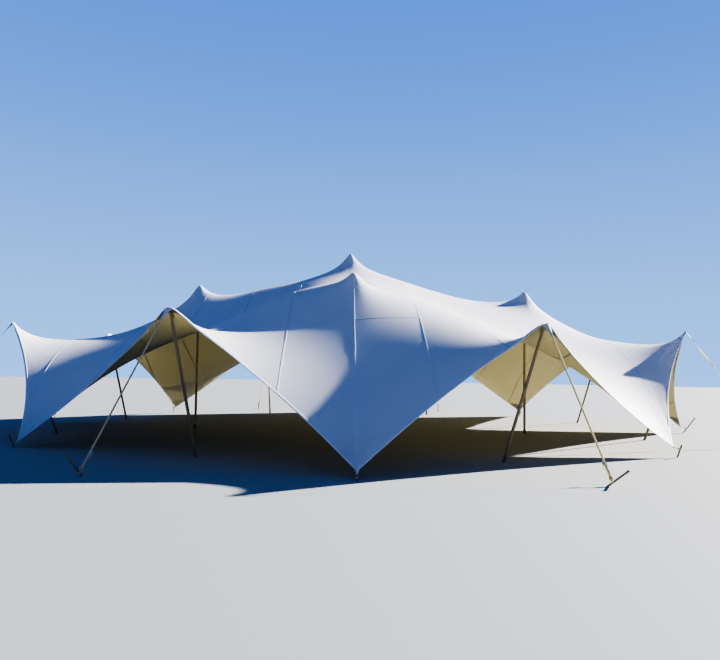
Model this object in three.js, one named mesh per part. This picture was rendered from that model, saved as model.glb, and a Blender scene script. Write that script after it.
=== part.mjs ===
// A stretch tent: one sheet of stretch cloth over five king poles and eight leaning edge poles.
// Between the edge poles its border is pulled down to the ground, and flat straps brace the poles.
// Millimetres, +Z up. The origin is the foot of the centre king pole, and -Y is the front.
import * as THREE from "three";

// The cloth's low tips, and its corners at the heads of the edge poles, each with the foot of its pole
// and how far beyond the corner its stake stands. The height is that of the cloth's top face. A lean is
// how far a stake's head goes sideways for its height. A lean, a stake's length and the strap's height
// on the stake are given only where they aren't the usual ones.
const EDGE_POINTS = {
  front_left: { x: -7400, y: -5650, height: 120 },
  left_middle: { x: -3720, y: -7600, height: 2990, foot: [-3180, -7080], pull: [-750, -2260], lean: [-0.55, -0.4] },
  front: { x: 0, y: -10000, height: 150, stakeLength: 95, strapHeight: 62 },
  right_middle: { x: 3740, y: -7950, height: 2780, foot: [3040, -7300], pull: [270, -2360], lean: [1.1, -0.5] },
  front_right: { x: 7150, y: -6050, height: 220 },
  right_front: { x: 9210, y: -2590, height: 3050, foot: [8400, -1740], pull: [2000, -650] },
  right: { x: 10900, y: 1150, height: 170, lean: [0.9, 0.15], stakeLength: 650 },
  right_back: { x: 9900, y: 5350, height: 3050, foot: [9010, 5600], pull: [2000, 600] },
  back_right: { x: 7800, y: 9700, height: 220 },
  back_middle_right: { x: 4000, y: 10200, height: 3000, foot: [3650, 9750], pull: [550, 2200] },
  back: { x: 150, y: 11800, height: 170 },
  back_middle_left: { x: -3500, y: 9900, height: 3100, foot: [-3260, 9440], pull: [-550, 2200] },
  back_left: { x: -7210, y: 8620, height: 220 },
  left_back: { x: -8720, y: 4200, height: 3090, foot: [-7880, 4040], pull: [-1950, 500] },
  left: { x: -9700, y: 1700, height: 280 },
  left_front: { x: -9020, y: -2620, height: 2980, foot: [-7920, -2100], pull: [-1750, -700] },
};
const FRONT_HEM = ["front_left", "left_middle", "front", "right_middle", "front_right"];
const BACK_HEM = ["back_left", "back_middle_left", "back", "back_middle_right", "back_right"];
const LEFT_HEM = ["front_left", "left_front", "left", "left_back", "back_left"];
const RIGHT_HEM = ["front_right", "right_front", "right", "right_back", "back_right"];

// The king poles stand upright along one row and on the middle seam, front and back of the centre.
// The seam number counts cloth strips from the middle.
const KING_ROW = [
  { seam: -5, x: -7250, y: 900 },
  { name: "left", seam: -3.25, x: -4690, y: 350, height: 4420 },
  { name: "centre", seam: 0, x: 0, y: 0, height: 5450 },
  { name: "right", seam: 3.6, x: 5460, y: 100, height: 4380 },
  { seam: 5, x: 7500, y: 400 },
];
const FRONT_KING_HEIGHT = 4130;
const BACK_KING_HEIGHT = 4150;

// Heights of the taut cloth away from the poles, which its stretch holds up.
const TAUT_PLACES = [
  { x: -2450, y: 150, height: 4390 },
  { x: 1300, y: 0, height: 4720 },
  { x: 2500, y: 50, height: 4370 },
  { x: 0, y: -2450, height: 4320 },
  { x: 0, y: 2700, height: 4400 },
  { x: -1500, y: -4700, height: 3630 },
  { x: 1500, y: -4700, height: 3510 },
  { x: -2900, y: -2900, height: 3240 },
  { x: 2900, y: -2900, height: 3450 },
  { x: -2900, y: 3300, height: 3800 },
  { x: 2900, y: 3300, height: 4000 },
  { x: -6900, y: -1100, height: 2740 },
  { x: 6900, y: -1100, height: 3000 },
  { x: -6900, y: 2300, height: 3050 },
  { x: 6900, y: 2300, height: 3650 },
  { x: 0, y: -7700, height: 1890 },
  { x: 0, y: 8900, height: 1850 },
  { x: -2500, y: -6200, height: 2760 },
  { x: 2500, y: -6200, height: 2810 },
  { x: -7500, y: -3600, height: 1840 },
  { x: 7800, y: -3400, height: 2190 },
  { x: -8100, y: -1600, height: 2550 },
  { x: 8100, y: -1400, height: 2740 },
];

// The cloth.
const CLOTH_DROP = 12;
const WING_SEAM = 5;
const EDGE_SEAM = 7;
const PANEL_SEAMS = [-EDGE_SEAM, -4, -2, 0, 2, 4, EDGE_SEAM];
const HALVES = { front: [0, 0.5], back: [0.5, 1] };
const HEM_DIP = 250;
const PEAK_ROUNDING = 120;
const TAUT_ROUNDING = 1200;
const HOLDS_PER_HEM = 7;
const HOLD_OFFSET = 500;

// How finely the panels are cut into facets.
const SEAM_STEP = 0.5;
const ROWS_PER_QUARTER = 7;
const PEAK_RINGS = [90, 300];
const STRIP_WIDTH = 1450;
const ROW_LENGTH = 20400;

// Poles, straps and stakes.
const POLE_SIDES = 12;
const KING_RADIUS = 38;
const EDGE_RADIUS = 32;
const STRAP_WIDTH = 50;
const STRAP_THICKNESS = 4;
const STAKE_SIDES = 8;
const STAKE_RADIUS = 17;
const STAKE_LENGTH = 420;
const STAKE_LEAN = 0.62;
const TIP_STAKE_LENGTH = 300;
const TIP_STAKE_LEAN = 0.35;
const STRAP_HEIGHT_ON_STAKE = 60;
const TIP_RUN = 70;
const TIP_DROP = 35;

// How the pieces are brought to rest on each other.
const CONTACT_GAP = 0.3;
const SEAT_REACH = 250;
const SEAT_STEPS = 60;
const POLE_START = 900;
const STRAP_START = 10;
const POLE_INSET = 60;

const clothMaterial = new THREE.MeshStandardMaterial({ name: "cloth", color: 0xf1ede4, roughness: 0.85, metalness: 0 });
const woodMaterial = new THREE.MeshStandardMaterial({ name: "wood", color: 0x6b4a2e, roughness: 0.7, metalness: 0 });
const strapMaterial = new THREE.MeshStandardMaterial({ name: "strap", color: 0xd8cfb6, roughness: 0.8, metalness: 0 });
const steelMaterial = new THREE.MeshStandardMaterial({ name: "steel", color: 0x4a4640, roughness: 0.6, metalness: 0.8 });

const UP = new THREE.Vector3(0, 0, 1);

function flat(point) {
  return new THREE.Vector2(point.x, point.y);
}

// A place along the hem between two edge points, where the cloth's tension bows it inwards.
function hemPoint(startName, endName, share) {
  const [start, end] = [EDGE_POINTS[startName], EDGE_POINTS[endName]];
  const inwards = new THREE.Vector2(end.y - start.y, start.x - end.x).normalize();
  if (inwards.dot(flat(start)) > 0) inwards.negate();
  const place = flat(start).lerp(flat(end), share);
  return place.addScaledVector(inwards, 4 * share * (1 - share) * HEM_DIP);
}

// The place a share of the way along a hem, whose edge points come at even shares.
function alongHem(hem, share) {
  const spans = hem.length - 1;
  const span = Math.min(Math.floor(share * spans), spans - 1);
  return hemPoint(hem[span], hem[span + 1], share * spans - span);
}

function alongKingRow(seam) {
  const next = Math.max(1, KING_ROW.findIndex((point) => seam <= point.seam));
  const [start, end] = [KING_ROW[next - 1], KING_ROW[next]];
  return flat(start).lerp(flat(end), (seam - start.seam) / (end.seam - start.seam));
}

// Plan position on the cloth. Row 0 is the front hem, 0.5 the row of king poles and 1 the back hem.
// Past the wing seams the rows run on to the side hems.
function planPoint(seam, row) {
  const inner = THREE.MathUtils.clamp(seam, -WING_SEAM, WING_SEAM);
  const share = (inner + WING_SEAM) / (2 * WING_SEAM);
  const [hem, reach] = row <= 0.5 ? [FRONT_HEM, 1 - 2 * row] : [BACK_HEM, 2 * row - 1];
  const place = alongKingRow(inner).lerp(alongHem(hem, share), reach);
  const side = seam < 0 ? LEFT_HEM : RIGHT_HEM;
  return place.lerp(alongHem(side, row), Math.abs(seam - inner) / (EDGE_SEAM - WING_SEAM));
}

function kingPoles() {
  const front = planPoint(0, 0.25);
  const back = planPoint(0, 0.75);
  return [
    ...KING_ROW.filter((point) => point.name),
    { name: "front", seam: 0, x: front.x, y: front.y, height: FRONT_KING_HEIGHT },
    { name: "back", seam: 0, x: back.x, y: back.y, height: BACK_KING_HEIGHT },
  ];
}

// Solves a square set of linear equations by elimination with row exchanges.
function solve(rows, values) {
  const size = rows.length;
  for (let column = 0; column < size; column += 1) {
    let pivot = column;
    for (let row = column + 1; row < size; row += 1) {
      if (Math.abs(rows[row][column]) > Math.abs(rows[pivot][column])) pivot = row;
    }
    [rows[column], rows[pivot]] = [rows[pivot], rows[column]];
    [values[column], values[pivot]] = [values[pivot], values[column]];
    for (let row = column + 1; row < size; row += 1) {
      const factor = rows[row][column] / rows[column][column];
      for (let term = column; term < size; term += 1) rows[row][term] -= factor * rows[column][term];
      values[row] -= factor * values[column];
    }
  }
  for (let row = size - 1; row >= 0; row -= 1) {
    for (let term = row + 1; term < size; term += 1) values[row] -= rows[row][term] * values[term];
    values[row] /= rows[row][row];
  }
  return values;
}

// The points that hold the cloth: the king poles, and points along the hems with their pull just outside.
function clothHolds() {
  const within = (places, rounding) => places.map((place) => ({ at: flat(place), from: flat(place), height: place.height, rounding }));
  const holds = [...within(kingPoles(), PEAK_ROUNDING), ...within(TAUT_PLACES, TAUT_ROUNDING)];
  const round = Object.keys(EDGE_POINTS);
  for (const [index, name] of round.entries()) {
    const nextName = round[(index + 1) % round.length];
    for (let step = 0; step < HOLDS_PER_HEM; step += 1) {
      const share = step / HOLDS_PER_HEM;
      const place = hemPoint(name, nextName, share);
      const from = place.clone().addScaledVector(place.clone().normalize(), HOLD_OFFSET);
      const height = THREE.MathUtils.lerp(EDGE_POINTS[name].height, EDGE_POINTS[nextName].height, share);
      holds.push({ at: place, from, height, rounding: PEAK_ROUNDING });
    }
  }
  return holds;
}

function pullAt(place, hold) {
  return 0.5 * Math.log((place.distanceToSquared(hold.from) + hold.rounding ** 2) / STRIP_WIDTH ** 2);
}

// The cloth hangs as an evenly tensioned skin: its height is a sum of logarithms of the distance to
// each hold, whose strengths are such that it passes through every hold.
function makeHeightFunction() {
  const holds = clothHolds();
  const rows = holds.map(({ at }) => [...holds.map((hold) => pullAt(at, hold)), 1]);
  rows.push([...holds.map(() => 1), 0]);
  const strengths = solve(rows, [...holds.map(({ height }) => height), 0]);
  const level = strengths[holds.length];
  return (place) => holds.reduce((sum, hold, index) => sum + strengths[index] * pullAt(place, hold), level);
}

const heightAt = makeHeightFunction();

function closedGeometry(points, triangles) {
  const keys = new Map();
  const kept = [];
  const index = points.map((point) => {
    const key = point.toArray().map((value) => value.toFixed(3)).join();
    if (!keys.has(key)) keys.set(key, kept.push(point) - 1);
    return keys.get(key);
  });
  const faces = triangles
    .map((corners) => corners.map((corner) => index[corner]))
    .filter(([a, b, c]) => a !== b && b !== c && c !== a);
  const geometry = new THREE.BufferGeometry();
  geometry.setAttribute("position", new THREE.Float32BufferAttribute(kept.flatMap((point) => point.toArray()), 3));
  geometry.setIndex(faces.flat());
  return geometry;
}

// The seam numbers and rows at which the cloth's facets meet, closer together round the king poles.
function columnsBetween(first, last) {
  const columns = [first, last];
  for (let seam = Math.ceil(first / SEAM_STEP) * SEAM_STEP; seam < last; seam += SEAM_STEP) columns.push(seam);
  for (const point of KING_ROW) columns.push(point.seam);
  for (const king of kingPoles()) {
    for (const ring of PEAK_RINGS) columns.push(king.seam - ring / STRIP_WIDTH, king.seam + ring / STRIP_WIDTH);
  }
  return thinned(columns.filter((seam) => seam >= first && seam <= last), 0.04);
}

function rowsOfCloth() {
  const rows = [];
  for (const quarter of [0, 1, 2, 3]) {
    for (let step = 0; step <= ROWS_PER_QUARTER; step += 1) rows.push((quarter + step / ROWS_PER_QUARTER) / 4);
  }
  for (const row of [0.25, 0.5, 0.75]) {
    for (const ring of PEAK_RINGS) rows.push(row - ring / ROW_LENGTH, row + ring / ROW_LENGTH);
  }
  return thinned(rows, 0.003);
}

function thinned(numbers, least) {
  const sorted = [...numbers].sort((a, b) => a - b);
  return sorted.filter((value, index) => index === 0 || value - sorted[index - 1] > least);
}

// How far the middle of a fold between two points of the top face lies from the cloth's own height.
function foldError(start, end) {
  const middle = start.clone().lerp(end, 0.5);
  return Math.abs(middle.z - heightAt(flat(middle)));
}

// How far a panel's rim stands back from its neighbour.
function rimSetback(value, first, last) {
  if (value === first) return CONTACT_GAP / 2;
  return value === last ? -CONTACT_GAP / 2 : 0;
}

// One panel of the cloth: its top and under faces, and the rim between them.
function clothPanel([leftSeam, rightSeam], [frontRow, backRow]) {
  const columns = columnsBetween(leftSeam, rightSeam);
  const rows = rowsOfCloth().filter((row) => row >= frontRow && row <= backRow);
  const points = [];
  for (const seam of columns) {
    for (const row of rows) {
      const place = planPoint(seam, row);
      const height = heightAt(place);
      const x = place.x + rimSetback(seam, leftSeam, rightSeam);
      const y = place.y + rimSetback(row, frontRow, backRow);
      points.push(new THREE.Vector3(x, y, height), new THREE.Vector3(x, y, height - CLOTH_DROP));
    }
  }
  const corner = (column, row, under) => 2 * (column * rows.length + row) + under;
  const triangles = [];
  const quad = (a, b, c, d) => triangles.push([a, b, c], [a, c, d]);
  const lastColumn = columns.length - 1;
  const lastRow = rows.length - 1;
  for (let i = 0; i < lastColumn; i += 1) {
    for (let j = 0; j < lastRow; j += 1) {
      const [a, b, c, d] = [corner(i, j, 0), corner(i + 1, j, 0), corner(i + 1, j + 1, 0), corner(i, j + 1, 0)];
      if (foldError(points[a], points[c]) <= foldError(points[b], points[d])) {
        quad(a, b, c, d);
        quad(a + 1, d + 1, c + 1, b + 1);
      } else {
        quad(b, c, d, a);
        quad(b + 1, a + 1, d + 1, c + 1);
      }
    }
    quad(corner(i, 0, 1), corner(i + 1, 0, 1), corner(i + 1, 0, 0), corner(i, 0, 0));
    quad(corner(i + 1, lastRow, 1), corner(i, lastRow, 1), corner(i, lastRow, 0), corner(i + 1, lastRow, 0));
  }
  for (let j = 0; j < lastRow; j += 1) {
    quad(corner(0, j + 1, 1), corner(0, j, 1), corner(0, j, 0), corner(0, j + 1, 0));
    quad(corner(lastColumn, j, 1), corner(lastColumn, j + 1, 1), corner(lastColumn, j + 1, 0), corner(lastColumn, j, 0));
  }
  return closedGeometry(points, triangles);
}

// A solid through a row of rings with equally many corners, closed by a flat cap at each end.
function loft(rings) {
  const sides = rings[0].length;
  const triangles = [];
  for (let ring = 0; ring < rings.length - 1; ring += 1) {
    for (let side = 0; side < sides; side += 1) {
      const next = (side + 1) % sides;
      const [a, b] = [ring * sides + side, ring * sides + next];
      triangles.push([a, b, b + sides], [a, b + sides, a + sides]);
    }
  }
  const top = (rings.length - 1) * sides;
  for (let side = 1; side < sides - 1; side += 1) {
    triangles.push([0, side + 1, side], [top, top + side, top + side + 1]);
  }
  return closedGeometry(rings.flat(), triangles);
}

// A ring of corners round a point, square to a direction.
function ringAround(centre, direction, radius, sides) {
  const turn = new THREE.Quaternion().setFromUnitVectors(UP, direction);
  return Array.from({ length: sides }, (_, side) => {
    const angle = (2 * Math.PI * side) / sides;
    return new THREE.Vector3(Math.cos(angle) * radius, Math.sin(angle) * radius, 0).applyQuaternion(turn).add(centre);
  });
}

function slidToGround(corner, direction) {
  return corner.clone().addScaledVector(direction, -corner.z / direction.z);
}

// A round post from the ground to a domed head, its foot cut level with the ground.
function post(foot, head, radius, sides) {
  const direction = head.clone().sub(foot).normalize();
  const rings = [ringAround(foot, direction, radius, sides).map((corner) => slidToGround(corner, direction))];
  for (const angle of [0, 30, 60, 82].map(THREE.MathUtils.degToRad)) {
    const centre = head.clone().addScaledVector(direction, radius * (Math.sin(angle) - 1));
    rings.push(ringAround(centre, direction, radius * Math.cos(angle), sides));
  }
  return loft(rings);
}

// A flat strap pulled straight from one point to another, its faces looking up and down.
function strap(from, to) {
  const direction = to.clone().sub(from).normalize();
  const across = new THREE.Vector3().crossVectors(direction, UP).normalize().multiplyScalar(STRAP_WIDTH / 2);
  const through = new THREE.Vector3().crossVectors(direction, across).normalize();
  through.multiplyScalar(STRAP_THICKNESS / 2);
  return loft(
    [from, to].map((end) => [
      end.clone().add(across).add(through),
      end.clone().sub(across).add(through),
      end.clone().sub(across).sub(through),
      end.clone().add(across).sub(through),
    ]),
  );
}

function cornersOf(geometry) {
  const position = geometry.getAttribute("position");
  return Array.from({ length: position.count }, (_, index) => new THREE.Vector3().fromBufferAttribute(position, index));
}

function facetsOf(geometry) {
  const corners = cornersOf(geometry);
  const index = geometry.getIndex().array;
  const facets = [];
  for (let i = 0; i < index.length; i += 3) {
    facets.push(new THREE.Triangle(corners[index[i]], corners[index[i + 1]], corners[index[i + 2]]));
  }
  return facets;
}

function facetsNear(facets, place) {
  return facets.filter((facet) => facet.closestPointToPoint(place, new THREE.Vector3()).distanceTo(place) < SEAT_REACH);
}

function edgesOf(facets) {
  return facets.flatMap(({ a, b, c }) => [new THREE.Line3(a, b), new THREE.Line3(b, c), new THREE.Line3(c, a)]);
}

function gapToFacets(facets, others) {
  const nearest = new THREE.Vector3();
  const gaps = facets.flatMap(({ a, b, c }) => [a, b, c]).map((corner) => {
    const away = others.map((other) => other.closestPointToPoint(corner, nearest).distanceTo(corner));
    return Math.min(...away);
  });
  return Math.min(...gaps);
}

// The least distance between two sets of facets, from corner to facet or from edge to edge.
function leastGap(facets, others) {
  const otherEdges = edgesOf(others);
  const edgeGaps = edgesOf(facets).map((edge) => Math.min(...otherEdges.map((other) => edge.distanceSqToLine3(other))));
  return Math.min(gapToFacets(facets, others), gapToFacets(others, facets), Math.sqrt(Math.min(...edgeGaps)));
}

// How far a piece's end moves along its own line until only the contact gap is left to the facets.
function travelUntilSeated(makePiece, facets) {
  let travel = 0;
  for (let step = 0; step < SEAT_STEPS; step += 1) {
    const gap = leastGap(facetsOf(makePiece(travel)), facets);
    if (gap < CONTACT_GAP * 1.1) return travel;
    travel += gap - CONTACT_GAP;
  }
  throw new Error("A piece doesn't come to rest on its neighbour");
}

const tent = new THREE.Group();

function addPiece(name, geometry, material) {
  const mesh = new THREE.Mesh(geometry, material);
  mesh.name = name;
  tent.add(mesh);
  return mesh;
}

const clothFacets = Object.entries(HALVES).flatMap(([half, rows]) =>
  PANEL_SEAMS.slice(0, -1).flatMap((seam, index) => {
    const panel = clothPanel([seam, PANEL_SEAMS[index + 1]], rows);
    addPiece(`cloth_${half}_${index + 1}`, panel, clothMaterial);
    return facetsOf(panel);
  }),
);

// A pole from its foot up to the cloth's underside at a corner or a peak.
function addPole(name, foot, target, radius) {
  const facets = facetsNear(clothFacets, target);
  const direction = target.clone().sub(foot).normalize();
  const start = target.clone().addScaledVector(direction, -POLE_START);
  const pole = (travel) => post(foot, start.clone().addScaledVector(direction, travel), radius, POLE_SIDES);
  addPiece(name, pole(travelUntilSeated(pole, facets)), woodMaterial);
}

// A strap from the cloth's corner to the stake that holds it, and the stake, which leans away.
function addAnchor(kind, name, corner, anchor, lean, stakeLength, heightOnStake) {
  const up = new THREE.Vector3(...lean, 1);
  const head = anchor.clone().addScaledVector(up.clone().normalize(), stakeLength);
  const stake = post(anchor, head, STAKE_RADIUS, STAKE_SIDES);
  addPiece(`${kind}_stake_${name}`, stake, steelMaterial);
  const end = anchor.clone().addScaledVector(up, heightOnStake);
  const direction = end.clone().sub(corner).normalize();
  const middle = corner.clone().lerp(end, 0.5);
  const top = (travel) => middle.clone().addScaledVector(direction, -STRAP_START - travel);
  const bottom = (travel) => middle.clone().addScaledVector(direction, STRAP_START + travel);
  const upTravel = travelUntilSeated((travel) => strap(top(travel), middle), facetsNear(clothFacets, corner));
  const downTravel = travelUntilSeated((travel) => strap(middle, bottom(travel)), facetsOf(stake));
  addPiece(`${kind}_strap_${name}`, strap(top(upTravel), bottom(downTravel)), strapMaterial);
}

for (const king of kingPoles()) {
  const foot = new THREE.Vector3(king.x, king.y, 0);
  addPole(`king_pole_${king.name}`, foot, new THREE.Vector3(king.x, king.y, king.height), KING_RADIUS);
}

for (const [name, point] of Object.entries(EDGE_POINTS)) {
  const corner = new THREE.Vector3(point.x, point.y, point.height - CLOTH_DROP / 2);
  const outwards = corner.clone().setZ(0).normalize();
  if (point.foot) {
    const inside = corner.clone().addScaledVector(outwards, -POLE_INSET);
    addPole(`edge_pole_${name}`, new THREE.Vector3(...point.foot, 0), inside, EDGE_RADIUS);
    const anchor = new THREE.Vector3(point.x + point.pull[0], point.y + point.pull[1], 0);
    const away = new THREE.Vector2(...point.pull).setLength(STAKE_LEAN);
    addAnchor("guy", name, corner, anchor, point.lean ?? away.toArray(), STAKE_LENGTH, STRAP_HEIGHT_ON_STAKE);
  } else {
    const anchor = new THREE.Vector3(point.x, point.y, 0).addScaledVector(outwards, TIP_RUN);
    const away = flat(outwards).setLength(TIP_STAKE_LEAN);
    const lean = point.lean ?? away.toArray();
    const stakeLength = point.stakeLength ?? TIP_STAKE_LENGTH;
    addAnchor("tip", name, corner, anchor, lean, stakeLength, point.strapHeight ?? point.height - TIP_DROP);
  }
}

export default tent;
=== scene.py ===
"""Dresses a stretch tent: one rigged sheet of stretch cloth, timber poles, webbing stays and stakes."""
import logging
import math
from dataclasses import dataclass, field
from functools import cache
from typing import Any, Callable, Sequence

import bmesh
import bpy
import numpy as np
from mathutils import Matrix


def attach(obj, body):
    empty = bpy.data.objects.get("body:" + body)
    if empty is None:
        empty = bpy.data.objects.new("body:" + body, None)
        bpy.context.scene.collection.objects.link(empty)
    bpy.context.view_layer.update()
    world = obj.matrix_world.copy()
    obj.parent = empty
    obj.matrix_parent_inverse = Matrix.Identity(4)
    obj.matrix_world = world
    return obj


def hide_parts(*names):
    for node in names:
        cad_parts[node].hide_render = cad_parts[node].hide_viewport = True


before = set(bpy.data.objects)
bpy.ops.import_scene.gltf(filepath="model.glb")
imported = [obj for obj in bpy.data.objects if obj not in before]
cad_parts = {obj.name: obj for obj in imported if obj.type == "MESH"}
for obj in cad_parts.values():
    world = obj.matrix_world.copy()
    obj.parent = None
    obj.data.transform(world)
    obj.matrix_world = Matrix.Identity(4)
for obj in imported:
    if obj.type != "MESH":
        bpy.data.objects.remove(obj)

Array = np.ndarray
Rgb = tuple[float, float, float]

log = logging.getLogger("stretch_tent")

BODY = "root"
MILLIMETRE = 0.001
UP = np.array([0.0, 0.0, 1.0])

# The tips and high corners of the sheet, in turn round its border, with the spans between them.
EDGE_ROUND = (
    "front_left", "left_middle", "front", "right_middle", "front_right", "right_front",
    "right", "right_back", "back_right", "back_middle_right", "back", "back_middle_left",
    "back_left", "left_back", "left", "left_front",
)
SPANS = tuple(zip(EDGE_ROUND, EDGE_ROUND[1:] + EDGE_ROUND[:1]))

# The four hems, each from the left or the front on.
FRONT_HEM = EDGE_ROUND[:5]
RIGHT_HEM = EDGE_ROUND[4:9]
BACK_HEM = EDGE_ROUND[12:7:-1]
LEFT_HEM = EDGE_ROUND[:1] + EDGE_ROUND[:11:-1]

# The upright poles, by where they stand.
KINGS = ("left", "centre", "right", "front", "back")

# Places where the stretch of the cloth alone holds it up: x, y and height in metres.
TAUT_PLACES = (
    (-2.45, 0.15, 4.39), (1.3, 0.0, 4.72), (2.5, 0.05, 4.37), (0.0, -2.45, 4.32), (0.0, 2.7, 4.4),
    (-1.5, -4.7, 3.63), (1.5, -4.7, 3.51), (-2.9, -2.9, 3.24), (2.9, -2.9, 3.45),
    (-2.9, 3.3, 3.8), (2.9, 3.3, 4.0), (-6.9, -1.1, 2.74), (6.9, -1.1, 3.0),
    (-6.9, 2.3, 3.05), (6.9, 2.3, 3.65), (0.0, -7.7, 1.89), (0.0, 8.9, 1.85),
    (-2.5, -6.2, 2.76), (2.5, -6.2, 2.81), (-7.5, -3.6, 1.84), (7.8, -3.4, 2.19),
    (-8.1, -1.6, 2.55), (8.1, -1.4, 2.74),
)

# Where the seams between the strips of cloth lie across the tent, and the ends of the one cross seam.
SEAM_LINES = (-9.0, -7.62, -6.02, -4.4, -2.9, -1.43, 0.0, 1.47, 2.93, 4.4, 5.85, 7.3, 8.75, 10.2)
CROSS_SEAM = ((0.02, -6.26), (1.46, -5.99))

# Puckered stretches of seams: the seam's place, where the stretch starts and ends, and how many
# times the usual height the seam gains there.
PUCKERS = (
    (0.0, -7.75, -5.05, 1.6), (1.47, -6.95, -5.9, 1.0), (-1.43, -8.75, -6.7, 0.9), (-1.43, -4.6, -1.4, 1.3),
    (-2.9, -4.5, -1.8, 1.6), (-6.02, -3.6, -2.7, 1.6), (-7.62, -4.1, -3.1, 1.2),
)


def unit(vectors: Array) -> Array:
    """Vectors scaled to a length of one, along the last axis."""
    return vectors / np.linalg.norm(vectors, axis=-1, keepdims=True)


def smooth_step(values: Array) -> Array:
    """The cubic that runs from 0 to 1 with level ends, for values clipped to that range."""
    clipped = np.clip(values, 0.0, 1.0)
    return clipped * clipped * (3.0 - 2.0 * clipped)


def spokes(angle: Array) -> Array:
    """Points of the unit circle at angles in radians."""
    return np.stack([np.cos(angle), np.sin(angle)], axis=-1)


def circle(radius: float, sides: int) -> Array:
    """A round outline, anticlockwise."""
    return spokes(np.arange(sides) * (math.tau / sides)) * radius


def rounded_bar(width: float, thickness: float, steps: int = 4) -> Array:
    """A flat outline with half-round edges, anticlockwise.

    Args:
        width: Its size along the first axis.
        thickness: Its size along the second one.
        steps: How many points each edge has.

    Returns:
        The outline, as pairs of numbers.
    """
    angle = np.linspace(-math.pi / 2.0, math.pi / 2.0, steps)
    right = spokes(angle) * (thickness / 2.0) + (width / 2.0 - thickness / 2.0, 0.0)
    return np.concatenate([right, -right])


def frames_along(path: Array, up: Array, is_loop: bool = False) -> tuple[Array, Array]:
    """Side and lift vectors along a path.

    The side is the cross product of the path's direction and the wanted up vector, and the lift is
    the cross product of side and direction.

    Args:
        path: Points of the path.
        up: The wanted lift, one vector or one for each point.
        is_loop: Whether the last point joins the first.

    Returns:
        The side and lift vectors.
    """
    ahead = np.roll(path, -1, axis=0) - np.roll(path, 1, axis=0) if is_loop else np.gradient(path, axis=0)
    ahead = unit(ahead)
    side = unit(np.cross(ahead, np.broadcast_to(up, ahead.shape)))
    return side, np.cross(side, ahead)


def crowded(low: float, high: float, steps: int, centres: Sequence[float], reach: Sequence[float]) -> Array:
    """Even numbers from low to high, with more of them on both sides of some centres.

    Args:
        low: The first number.
        high: The last number.
        steps: How many even steps lie between them.
        centres: Numbers that are kept exactly and crowded round.
        reach: Distances from a centre at which another number is put.

    Returns:
        The sorted numbers; an even number too close to a crowded one is left out.
    """
    close = np.unique(np.add.outer(centres, [0.0, *reach, *(-step for step in reach)]).round(6))
    close = close[(close >= low) & (close <= high)]
    even = np.linspace(low, high, steps + 1)
    least_gap = (high - low) / steps * 0.3
    free = np.abs(even[:, None] - close).min(axis=1) > least_gap
    return np.unique(np.concatenate([even[free], close, [low, high]]))


# What the frame says

def nodes_with(word: str) -> list[str]:
    """Names of the CAD nodes that have a word in them."""
    return [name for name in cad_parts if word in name]


def is_high(name: str) -> bool:
    """Whether an edge point is a high corner on a pole, and not a tip on the ground."""
    return f"edge_pole_{name}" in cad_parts


def edge_node(name: str, part: str) -> str:
    """The CAD node of an edge point's strap or stake."""
    return f"{'guy' if is_high(name) else 'tip'}_{part}_{name}"


def cad_points(*nodes: str) -> Array:
    """Distinct corners of CAD nodes.

    Args:
        nodes: Names of the nodes.

    Returns:
        Their corners at rest, in metres.
    """
    clouds = []
    for node in nodes:
        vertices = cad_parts[node].data.vertices
        flat = np.empty(len(vertices) * 3, np.float32)
        vertices.foreach_get("co", flat)
        clouds.append(flat.reshape(-1, 3).astype(float))
    return np.unique(np.vstack(clouds).round(5), axis=0)


@dataclass(frozen=True)
class Member:
    """A straight CAD piece seen as a line: a pole, a strap or a stake.

    The line runs through the middle of the piece's corners along their longest spread, and sideways
    is the direction of their second longest one.
    """

    name: str
    low: Array
    high: Array
    sideways: Array

    @classmethod
    def of_node(cls, node: str) -> "Member":
        """Measures one node of the frame.

        Args:
            node: Its name.

        Returns:
            The node as a member.
        """
        points = cad_points(node)
        middle = points.mean(axis=0)
        _, _, axes = np.linalg.svd(points - middle)
        along = axes[0] if axes[0][2] > 0 else -axes[0]
        reach = (points - middle) @ along
        sideways = axes[1] if np.cross(along, axes[1])[2] > 0 else -axes[1]
        return cls(node, middle + along * reach.min(), middle + along * reach.max(), sideways)

    @property
    def length(self) -> float:
        """Length of the piece along its line."""
        return float(np.linalg.norm(self.high - self.low))

    @property
    def along(self) -> Array:
        """Direction from the low end to the high end."""
        return unit(self.high - self.low)

    def from_ground(self) -> tuple[Array, float]:
        """The place where the line meets the ground, and how far from there its high end is."""
        foot = self.low - self.along * (self.low[2] / self.along[2])
        return foot, float(np.linalg.norm(self.high - foot))

    def meets(self, other: "Member") -> Array:
        """The point of this line that lies closest to another line."""
        facing = np.cross(other.along, np.cross(self.along, other.along))
        return self.low + self.along * (((other.low - self.low) @ facing) / (self.along @ facing))


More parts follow.
